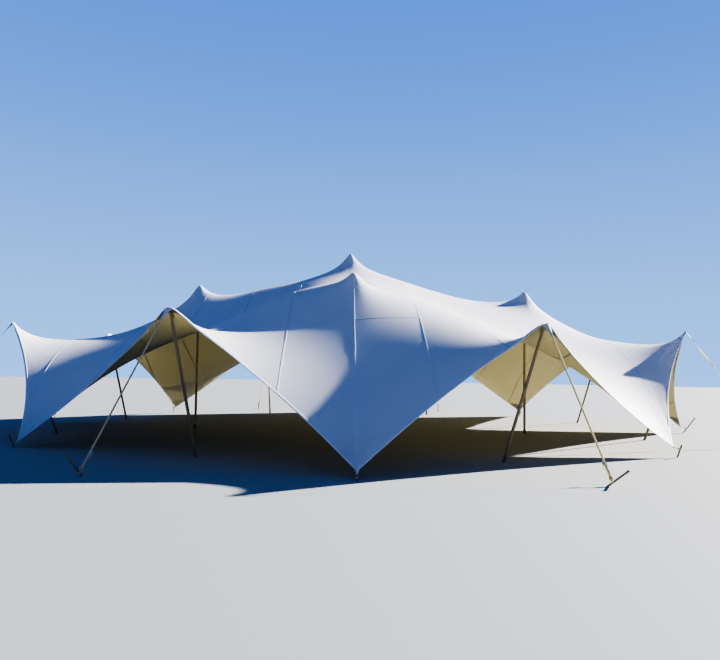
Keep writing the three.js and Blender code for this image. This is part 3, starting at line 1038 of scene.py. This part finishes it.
@dataclass
class Canopy:
    """The sheet of stretch cloth with its seams, hem, patches and corner tabs, in metres."""

    shape: SheetShape
    thickness: float = 0.005
    steps: int = 128
    row_length: float = 20.4
    near: tuple[float, ...] = (0.02, 0.045, 0.075, 0.11, 0.15, 0.2, 0.27, 0.36)
    seam_width: float = 0.035
    seam_height: float = 0.0022
    seam_sunk: float = 0.0005
    seam_margin: float = 0.03
    seam_step: float = 0.05
    cross_height: float = 1.6
    pucker_fade: float = 0.15
    pucker_sway: float = 0.0016
    pucker_ripple: float = 0.3
    hem_width: float = 0.05
    hem_thickness: float = 0.01
    hem_inset: float = 0.019
    hem_slip: float = 0.7
    hem_hang: float = math.radians(42.0)
    hang_reach: float = 1.5
    patch_reach: float = 0.42
    patch_start: float = 0.02
    patch_bulge: float = 0.25
    patch_height: float = 0.0025
    patch_inset: float = 0.012
    peak_patch: float = 0.3
    peak_height: float = 0.003
    bead: float = 0.003
    tab_length: float = 0.32
    tab_stops: tuple[float, ...] = (-0.22, -0.08, 0.02)
    tab_middle: float = 0.45
    tab_widths: tuple[float, ...] = (0.06, 0.12, 0.15, 0.105, 0.046)
    tab_bends: tuple[float, ...] = (0.05, 0.3, 0.55, 0.45, 0.0)
    tab_lift: float = 0.0055
    tab_thickness: float = 0.004
    tab_half_width: float = 0.022
    low_tab_share: float = 0.45
    trims: list[bpy.types.Object] = field(init=False, default_factory=list)

    def build(self) -> None:
        cloth = self._make_cloth()
        self._make_seams()
        self._make_hem()
        before = EDGE_ROUND[-1:] + EDGE_ROUND[:-1]
        wedges = [self._wedge(previous, *span) for previous, span in zip(before, SPANS)]
        self._make_patches("corner_patches", wedges, self.patch_height, is_round=False)
        rings = spokes(np.linspace(0.0, math.tau, 49)) * np.linspace(0.0, self.peak_patch, 13)[:, None, None]
        rounds = [self.shape.peaks[name][:2] + rings for name in KINGS]
        self._make_patches("peak_patches", rounds, self.peak_height, is_round=True)
        self._make_tabs()

    def _make_cloth(self) -> bpy.types.Object:
        """The top face and the underside, a cloth's thickness apart, closed round the border.

        Returns:
            The whole sheet.
        """
        shape = self.shape
        columns = crowded(-shape.EDGE_SEAM, shape.EDGE_SEAM, self.steps, shape.KING_SEAMS,
                          [step / shape.STRIP for step in self.near])
        rows = crowded(0.0, 1.0, self.steps, (0.25, 0.5, 0.75),
                       [step / self.row_length for step in self.near])
        places = shape.plan(*np.meshgrid(columns, rows, indexing="ij"))
        work = Patchwork("stretch_cloth")
        work.slab(shape.surface(places), shape.surface(places, -self.thickness), under_slot=1)
        return announce(work.build("cloth_top", "cloth_under"), "cloth", *nodes_with("cloth"))

    def _add_trim(self, work: Patchwork, finish: str) -> None:
        """Finishes a trimming of the sheet."""
        self.trims.append(announce(work.build(finish), "cloth"))

    def _lift(self, face: Face, height: float = 0.0) -> float:
        """How far along the sheet's normal something lies that stands out from one of its faces."""
        return face.side * height + (face.side - 1.0) / 2.0 * self.thickness

    def _band(self, work: Patchwork, places: Array, lift: float, profile: Array,
              is_loop: bool = False) -> None:
        """Lays a band along plan places on the sheet, at a lift along its normal."""
        path = self.shape.surface(places, lift)
        work.swept(path, *frames_along(path, self.shape.normal(places), is_loop), profile, is_loop=is_loop)

    def _stretches(self, line: float) -> list[Array]:
        """Stretches of a straight seam that lie on the sheet.

        Each runs between two places where the border crosses the seam's line.

        Args:
            line: The seam's place across the tent.

        Returns:
            Plan places of each stretch, from front to back.
        """
        start = self.shape.border(40)
        end = np.roll(start, -1, axis=0)
        crosses = (start[:, 0] > line) != (end[:, 0] > line)
        start, end = start[crosses].T, end[crosses].T
        ends = np.sort(start[1] + (line - start[0]) / (end[0] - start[0]) * (end[1] - start[1]))
        return [np.linspace((line, low + self.seam_margin), (line, high - self.seam_margin),
                            max(8, int((high - low) / self.seam_step))) for low, high in ends.reshape(-1, 2)]

    def _puckered(self, places: Array, line: float) -> tuple[Array, Array]:
        """Sways a seam and raises it where it is puckered.

        Args:
            places: Plan places along a straight seam.
            line: The seam's place across the tent.

        Returns:
            The swayed places, and how many times its usual height the seam stands at each.
        """
        along = places[:, 1]
        raised = np.zeros(len(along))
        for seam, start, end, height in PUCKERS:
            if seam == line:
                inside = smooth_step((along - start) / self.pucker_fade)
                raised += height * inside * smooth_step((end - along) / self.pucker_fade)
        ripple = np.sin(along * 6.0 + line) + 0.5 * np.sin(along * 13.0 + 2.0 * line)
        sway = np.stack([raised * ripple * self.pucker_sway, np.zeros(len(along))], axis=-1)
        return places + sway, 1.0 + raised * (1.0 + self.pucker_ripple * ripple)

    def _make_seams(self) -> None:
        """Flat seams between the strips, standing proud above and below, and one cross seam."""
        half, height, sunk = self.seam_width / 2.0, self.seam_height, -self.seam_sunk
        right = np.array([(half, sunk), (half * 0.9, height * 0.7), (half * 0.5, height)])
        outline = np.vstack([right, right[::-1] * (-1.0, 1.0)])
        seams = [self._puckered(places, line) for line in SEAM_LINES for places in self._stretches(line)]
        seams.append((np.linspace(*CROSS_SEAM, 24), np.full(24, self.cross_height)))
        for face in FACES:
            work = Patchwork(f"strip_seams{face.ending}")
            for places, times in seams:
                raised = outline * np.stack([np.ones(len(times)), times * face.side], axis=-1)[:, None]
                self._band(work, places, self._lift(face), raised)
            self._add_trim(work, face.seam)

    def _make_hem(self) -> None:
        """A turned hem along each span of the border, swept with a flat rounded outline.

        The outline's width is turned about the border, so that the hem's outer edge hangs. The angle
        falls off from the high corner as a bell in the distance.
        """
        work = Patchwork("turned_hem")
        profile = rounded_bar(self.hem_width, self.hem_thickness, 6)
        share = np.linspace(0.0, 1.0, 49)
        for start, end in SPANS:
            places = self.shape.hem_points(start, end, share)
            path = self.shape.surface(places, -self.thickness / 2.0)
            side, lift = frames_along(path, self.shape.normal(places))
            outwards = np.sign((side[:, :2] * places).sum(axis=1, keepdims=True)) * side
            away = np.linalg.norm(path - self.shape.corners[start if is_high(start) else end], axis=1)
            bell = np.exp(-(away[:, None] / self.hang_reach) ** 2)
            hang = self.hem_hang * bell
            width = outwards * np.cos(hang) - lift * np.sin(hang)
            path = path - width * self.hem_inset * (1.0 - self.hem_slip * bell)
            work.swept(path, width, lift * np.cos(hang) + outwards * np.sin(hang), profile)
        self._add_trim(work, "sewn_hem")

    def _wedge(self, before: str, name: str, after: str) -> Array:
        """Plan places of a patch in a corner.

        A point lies between the two hems, at the same distance along both, and the distance grows
        towards the middle so that the inner edge is a flat arc.

        Args:
            before: The edge point before the corner.
            name: The corner.
            after: The edge point after it.

        Returns:
            Rows of x and y, from the corner inwards.
        """
        corner = self.shape.corners[name][:2]
        across = np.linspace(0.0, 1.0, 15)
        reach = np.linspace(self.patch_start, 1.0, 12)[:, None] * self.patch_reach
        distance = reach * (1.0 + self.patch_bulge * np.sin(np.pi * across))
        spans = [np.linalg.norm(self.shape.corners[other][:2] - corner) for other in (before, after)]
        first = self.shape.hem_points(name, before, distance / spans[0])
        last = self.shape.hem_points(name, after, distance / spans[1])
        return first + (last - first) * across[:, None] - unit(corner) * self.patch_inset

    def _make_patches(self, name: str, grids: Sequence[Array], height: float, is_round: bool) -> None:
        """Pieces of doubled cloth on both faces, each with a piped edge along its last row.

        Args:
            name: Name of the piece above, which the one below is named after.
            grids: Plan places of each patch, in rows.
            height: How far the patch stands out from the sheet.
            is_round: Whether the rows are rings.
        """
        for face in FACES:
            work = Patchwork(name + face.ending)
            for places in grids:
                outer, inner = (self.shape.surface(places, self._lift(face, rise))
                                for rise in (height, -self.seam_sunk))
                work.slab(outer, inner, is_round=is_round)
                rim = places[-1][:-1] if is_round else places[-1]
                self._band(work, rim, self._lift(face, height), circle(self.bead, 8), is_round)
            self._add_trim(work, face.cloth)

    def _make_tabs(self) -> None:
        """The tongue of cloth that runs over each corner and down its strap, narrowing to the webbing."""
        work = Patchwork("corner_tabs")
        for name in EDGE_ROUND:
            strap = Member.of_node(edge_node(name, "strap"))
            if is_high(name):
                self._add_tab(work, name, strap, self.tab_length, 1.0)
            else:
                self._add_tab(work, name, strap, strap.length * self.low_tab_share, self.low_tab_share)
        self._add_trim(work, "cloth_top")

    def _add_tab(self, work: Patchwork, name: str, strap: Member, reach: float, fullness: float) -> None:
        """Adds one tongue.

        It follows the sheet to the corner and then the strap, and its edges curl down by a parabola.

        Args:
            work: The patchwork of all the tongues.
            name: The corner.
            strap: The strap that leads down from it.
            reach: How far down the strap the tongue runs.
            fullness: What its width is multiplied by.
        """
        scale = min(1.0, reach / self.tab_length + 0.35)
        ends = [*(stop * scale for stop in self.tab_stops), self.tab_middle * reach, reach]
        distance = np.linspace(ends[0], reach, 33)
        corner = self.shape.corners[name][:2]
        on_sheet = corner + unit(corner) * np.minimum(distance, 0.0)[:, None]
        path = self.shape.surface(on_sheet, self.tab_lift) - strap.along * np.maximum(distance, 0.0)[:, None]
        for _ in range(2):
            path[1:-1] = (path[:-2] + 2.0 * path[1:-1] + path[2:]) / 4.0
        full = np.interp(distance, ends, self.tab_widths) / 2.0
        width = np.maximum(full * fullness, self.tab_half_width)[:, None]
        bend = np.interp(distance, ends, self.tab_bends)[:, None]
        across = np.linspace(-1.0, 1.0, 13)
        side, lift = frames_along(path, UP)
        middle = path[:, None] + side[:, None] * (width * across)[..., None]
        middle = middle - lift[:, None] * (bend * width * across ** 2)[..., None]
        half = lift[:, None] * self.tab_thickness / 2.0
        work.slab(middle + half, middle - half)


# Poles

@dataclass
class PoleSet:
    """The timber poles with their steel shoes, in metres and degrees."""

    sides: int = 32
    reach: float = 0.007
    shoe_height: float = 0.12
    shoe_wall: float = 0.003
    shoe_lip: float = 0.004
    shoe_grip: float = 0.01
    shoe_room: float = 0.015
    end_share: float = 0.93
    swell: float = 0.7
    dome_start: float = 8.0
    king_radius: float = 0.038
    edge_radius: float = 0.032

    def build(self) -> None:
        """Makes every pole in place of its CAD node."""
        # King poles take the lighter copy of the timber, whose extra brightness is painted glow from the
        # canopy; edge poles take the plain timber.
        kinds = {"king": (self.king_radius, "new_timber"), "edge": (self.edge_radius, "weathered_timber")}
        for order, node in enumerate(sorted(nodes_with("pole"))):
            self._make_pole(Member.of_node(node), order, *kinds[node[:4]])

    def _make_pole(self, pole: Member, order: int, radius: float, finish: str) -> None:
        """One turned pole: full in the middle, a little slimmer at the ends, with a domed head.

        The radius grows from the ends to the middle by a power of the sine.

        Args:
            pole: The CAD pole.
            order: Its number, by which the grain of the wood is moved.
            radius: Radius in the middle.
            finish: Name of its finish.
        """
        foot, length = pole.from_ground()
        neck = length + self.reach - radius
        along = np.linspace(0.0, 1.0, 40)
        fullness = self.end_share + (1.0 - self.end_share) * np.sin(np.pi * along) ** self.swell
        shaft = np.stack([radius * fullness, along * neck], axis=-1)
        round_head = spokes(np.radians(np.linspace(self.dome_start, 90.0, 9)))
        dome = round_head * (radius * self.end_share, radius) + (0.0, neck)
        timber = Patchwork(f"timber_{pole.name}")
        pattern = np.array([0.7, 0.3, 5.0]) * order
        timber.turned(foot, pole.along, np.vstack([[(0.0, 0.0)], shaft, dome]), self.sides, pattern)
        announce(timber.build(finish), "wood", pole.name)
        inner = radius * (self.end_share - self.shoe_grip)
        outer = radius * (self.end_share + self.shoe_room) + self.shoe_wall
        top = self.shoe_height
        lip = outer + self.shoe_lip
        bead = outer + self.shoe_lip / 2.0
        ring = np.array([(inner, 0.0), (lip, 0.0), (lip, 0.006), (outer, 0.01), (outer, top - 0.016),
                         (bead, top - 0.012), (bead, top - 0.004), (outer - MILLIMETRE, top), (inner, top),
                         (inner, 0.0)])
        shoe = Patchwork(f"shoe_{pole.name}")
        shoe.turned(foot, pole.along, ring, self.sides)
        announce(shoe.build("stake_steel"), "steel")


# Straps and stakes

@dataclass
class AnchorSet:
    """The webbing stays from the corners of the sheet, their fittings, and the stakes, in metres."""

    strap_width: float = 0.04
    strap_thickness: float = 0.004
    stake_radius: float = 0.017
    strap_step: float = 0.06
    overlap: float = 0.3
    overlap_share: float = 0.6
    bend_share: float = 0.75
    flat_share: float = 0.45
    ring_distance: float = 0.33
    ring_gap: float = 0.006
    ring_wire: float = 0.004
    buckle_height: float = 0.36
    buckle_drop: float = 0.012
    cheek_gap: float = 0.004
    cheek_wall: float = 0.003
    grip_inset: float = 0.002
    spare_height: float = 0.085
    spare_share: float = 0.8
    spare_gap: tuple[float, float] = (0.004, 0.005)
    spare_step: float = 0.0045
    spare_tilts: tuple[float, ...] = (0.014, -0.016, 0.004)
    long_strap: float = 1.0
    half_turns: int = 3
    twist_start: float = 0.45
    twist_end: float = 0.22

    def build(self) -> None:
        """Makes the stays and stakes of every corner."""
        for name in EDGE_ROUND:
            strap, stake = (Member.of_node(edge_node(name, part)) for part in ("strap", "stake"))
            self._make_stake(stake)
            self._make_strap(strap, stake)
            if is_high(name):
                self._make_fittings(strap)

    def _make_stake(self, stake: Member) -> None:
        """A round bar with a hammered head and a welded collar, cut off level with the ground.

        Args:
            stake: The CAD stake.
        """
        foot, length = stake.from_ground()
        outline = np.array([(0.98, 0.06), (1.15, 0.055), (1.15, 0.045), (0.98, 0.04), (1.0, 0.012),
                            (1.12, 0.006), (1.1, 0.002), (0.9, 0.0), (0.0, -0.001)])
        head = outline * (self.stake_radius, -1.0) + (0.0, length)
        work = Patchwork(f"driven_{stake.name}")
        work.turned(foot, stake.along, np.vstack([[(0.0, 0.0), (head[0, 0], 0.0)], head]), 24)
        announce(work.build("stake_steel"), "steel", stake.name)

    def _make_strap(self, strap: Member, stake: Member) -> None:
        """A webbing band that ends in a loop round the stake.

        The band runs straight along the CAD strap. Near the stake it is doubled, turns by a quarter
        about its own line, and follows a half circle round the back of the stake. A long band that
        leads off to the left or right has some half turns, which stop it humming in the wind.

        Args:
            strap: The CAD strap.
            stake: The stake that it is made fast to.
        """
        down = -strap.along
        middle = strap.meets(stake)
        total = float((middle - strap.high) @ down)
        overlap = min(self.overlap, total * self.overlap_share)
        straight = total - overlap
        bend = self.stake_radius + self.strap_thickness * self.bend_share
        flat = self.strap_thickness * self.flat_share
        work = Patchwork(f"webbing_{strap.name}")
        distance = np.linspace(0.0, straight, max(6, int(straight / self.strap_step)))
        is_twisted = total > self.long_strap and abs(strap.sideways[1]) > abs(strap.sideways[0])
        twisted = np.interp(distance, (self.twist_start, straight - self.twist_end), (0.0, math.pi))
        angle = (self.half_turns * is_twisted * twisted)[:, None]
        width = strap.sideways * np.cos(angle) + np.cross(strap.sideways, down) * np.sin(angle)
        self._add_webbing(work, strap.high + down * distance[:, None], width, distance)
        away = unit(np.cross(stake.along, down))
        turned = np.cross(down, away)
        turned = turned if turned @ strap.sideways >= 0.0 else -turned
        share = np.linspace(-0.05, 1.0, 22)
        twist = smooth_step(share * 1.4)[:, None]
        width = unit(strap.sideways * (1.0 - twist) + turned * twist)
        offset = flat + (bend - flat) * smooth_step(share * 1.6 - 0.6)[:, None]
        distance = straight + share * overlap
        for sign in (-1.0, 1.0):
            path = strap.high + down * distance[:, None] + np.cross(width, down) * offset * sign
            self._add_webbing(work, path, width, distance)
        angle = np.linspace(-math.pi / 2.0, math.pi / 2.0, 15)
        self._add_webbing(work, middle + spokes(angle) @ [down, away] * bend, turned, total + angle * bend)
        if overlap == self.overlap:
            self._wind_spare(work, middle - down * self.spare_height, down, turned)
        announce(work.build("webbing"), "strap", strap.name)

    def _add_webbing(self, work: Patchwork, path: Array, width: Array, distance: Array) -> None:
        """Sweeps webbing along a path.

        Args:
            work: The patchwork of the strap.
            path: Points along the middle of the band.
            width: Where the band's width points, once or for each point.
            distance: How far along the band each point lies.
        """
        ahead = unit(np.gradient(path, axis=0))
        side = unit(width - ahead * (width * ahead).sum(axis=1, keepdims=True))
        profile = rounded_bar(self.strap_width, self.strap_thickness)
        work.swept(path, side, np.cross(side, ahead), profile, distance)

    def _wind_spare(self, work: Patchwork, centre: Array, down: Array, width: Array) -> None:
        """The spare end of the webbing, wound tightly round the doubled band in crossing turns.

        Each turn is an oval ring round the band, tilted along it by a sine.

        Args:
            work: The patchwork of the strap.
            centre: Middle of the winding.
            down: Unit vector down the band.
            width: Unit vector across it.
        """
        plane = np.stack([width, np.cross(width, down)])
        profile = rounded_bar(self.strap_width * self.spare_share, self.strap_thickness)
        steps = 32
        angle = np.arange(steps) * (math.tau / steps)
        ring = spokes(angle)
        distance = np.arange(steps + 1) * (self.strap_width * math.pi / steps)
        oval = np.array([self.strap_width / 2.0, self.stake_radius]) + self.spare_gap
        for turn, tilt in enumerate(self.spare_tilts):
            slant = down * (np.sin(angle + turn) * tilt)[:, None]
            path = centre + ring * (oval + self.spare_step * turn) @ plane + slant
            work.swept(path, down, ring @ plane, profile, distance, is_loop=True)

    def _make_fittings(self, strap: Member) -> None:
        """A welded D ring where the webbing meets the cloth's tongue, and a ratchet buckle lower down.

        Args:
            strap: The CAD strap.
        """
        work = Patchwork(f"fittings_{strap.name}")
        down, side = -strap.along, strap.sideways
        half = self.strap_width / 2.0 + self.ring_gap
        arc = spokes(np.linspace(0.0, math.pi, 17)) * (half, half * 0.9)
        bar = np.linspace((-half, 0.0), (half, 0.0), 9)[1:-1]
        path = strap.high + down * self.ring_distance + np.vstack([arc, bar]) @ [side, down]
        frames = frames_along(path, np.cross(side, down), is_loop=True)
        work.swept(path, *frames, circle(self.ring_wire, 10), is_loop=True)
        self._add_buckle(work, strap)
        announce(work.build("zinc_steel"), "steel")

    def _add_buckle(self, work: Patchwork, strap: Member) -> None:
        """A ratchet under the strap.

        It has two cheek plates, a spindle, a base bar and a handle folded along the strap.

        Args:
            work: The patchwork of the fittings.
            strap: The CAD strap.
        """
        down, side = -strap.along, strap.sideways
        lift = np.cross(side, down)
        lift = -lift if lift[2] > 0 else lift
        centre = strap.low - down * self.buckle_height + lift * self.buckle_drop
        half = self.strap_width / 2.0

        def line(start: Sequence[float], end: Sequence[float]) -> Array:
            """A path between two places given across, down and away from the strap."""
            return centre + np.array([start, end]) @ [side, down, lift]

        cheek = np.array([(-0.055, -0.006), (-0.05, -0.014), (0.06, -0.014), (0.066, -0.004), (0.05, 0.016),
                          (0.01, 0.03), (-0.02, 0.03), (-0.045, 0.012)])
        handle_end, handle_away = 0.1, 0.026
        for sign in (-1.0, 1.0):
            near = sign * (half + self.cheek_gap)
            plate = line((near, 0.0, 0.0), (near + sign * self.cheek_wall, 0.0, 0.0))
            work.swept(plate, down, lift, cheek)
            across = sign * (half - self.grip_inset)
            grip = line((across, -0.02, handle_away), (across, handle_end, handle_away))
            work.swept(grip, side, lift, rounded_bar(0.006, 0.004))
        spindle = (0.012, 0.0, 0.006, 0.011)
        base = (0.006, -0.045, 0.0, 0.005)
        handle = (0.002, handle_end, handle_away, 0.007)
        for past, lower, away, radius in (spindle, base, handle):
            bar = line((-half - past, lower, away), (half + past, lower, away))
            work.swept(bar, *frames_along(bar, UP), circle(radius, 16))


# The studio

@dataclass(frozen=True)
class Studio:
    """Floor, lights and camera, which stands where the photographer stood; metres and degrees."""

    eye: tuple[float, float, float] = (-0.348, -21.499, 1.7)
    heading: float = 1.8
    pitch: float = 3.72
    roll: float = 0.9
    lens: float = 35.0
    sensor: float = 36.0
    floor_size: float = 400.0
    floor_drop: float = 0.004
    sun_azimuth: float = 33.5
    sun_height: float = 22.8
    sun_strength: float = 12.2
    sun_spread: float = 0.9
    sun_colour: Rgb = (1.0, 0.955, 0.905)
    shade_colour: Rgb = (0.061, 0.144, 0.41)
    backdrop_radius: float = 190.0
    backdrop_steps: int = 96

    def build(self) -> None:
        """Sets up the whole studio, and the contrast of a bright day."""
        self._make_floor()
        self._make_backdrop()
        self._make_lights()
        self._make_camera()
        bpy.context.scene.view_settings.look = "AgX - Very High Contrast"

    def _make_floor(self) -> None:
        """A plain pale floor just under the feet."""
        half = self.floor_size / 2.0
        corners = [(x * half, y * half, -self.floor_drop) for x, y in ((-1, -1), (1, -1), (1, 1), (-1, 1))]
        mesh = bpy.data.meshes.new("studio_floor")
        mesh.from_pydata(corners, [], [(0, 1, 2, 3)])
        mesh.materials.append(material("studio_floor"))
        placed("studio_floor", mesh)

    def _make_backdrop(self) -> None:
        """A pale dome round the floor that only the camera sees, so that it gives no light or shade."""
        angle = np.linspace(0.0, math.tau, self.backdrop_steps)
        rise = np.linspace(-0.02, math.pi / 2.0, self.backdrop_steps // 4)[:, None]
        height = np.sin(rise) + 0.0 * angle
        dome = np.stack([np.cos(rise) * np.cos(angle), np.cos(rise) * np.sin(angle), height], axis=-1)
        work = Patchwork("studio_backdrop")
        work.grid(dome * self.backdrop_radius)
        backdrop = work.build("studio_backdrop")
        for ray in ("diffuse", "glossy", "transmission", "shadow"):
            setattr(backdrop, f"visible_{ray}", False)

    def _make_lights(self) -> None:
        """A low warm sun from the right, and a plain blue world."""
        lamp = bpy.data.lights.new("low_sun", "SUN")
        lamp.energy = self.sun_strength
        lamp.angle = math.radians(self.sun_spread)
        lamp.color = self.sun_colour
        turn = (90.0 - self.sun_height, 0.0, 90.0 + self.sun_azimuth)
        placed("low_sun", lamp).rotation_euler = [math.radians(angle) for angle in turn]
        world = Tree(bpy.data.worlds.new("studio"))
        shade = world.node("ShaderNodeBackground", inputs={"Color": (*self.shade_colour, 1.0)})
        bpy.context.scene.world = world.finish(shade)

    def _make_camera(self) -> None:
        """The camera at the photograph's place, turned by heading, pitch and roll."""
        camera = bpy.data.cameras.new("photo_camera")
        camera.lens = self.lens
        camera.sensor_width = self.sensor
        camera.sensor_fit = "HORIZONTAL"
        camera.clip_end = 1000.0
        holder = placed("photo_camera", camera)
        holder.matrix_world = Matrix.Translation(self.eye)
        for angle, axis in ((-self.heading, "Z"), (90.0 + self.pitch, "X"), (self.roll, "Z")):
            holder.matrix_world = holder.matrix_world @ Matrix.Rotation(math.radians(angle), 4, axis)
        bpy.context.scene.camera = holder


def main() -> None:
    """Builds the tent and the studio."""
    logging.basicConfig(level=logging.INFO, format="%(name)s: %(message)s")
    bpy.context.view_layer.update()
    Canopy(SheetShape()).build()
    PoleSet().build()
    AnchorSet().build()
    Studio().build()
    bpy.context.view_layer.update()


if __name__ == "__main__":
    main()
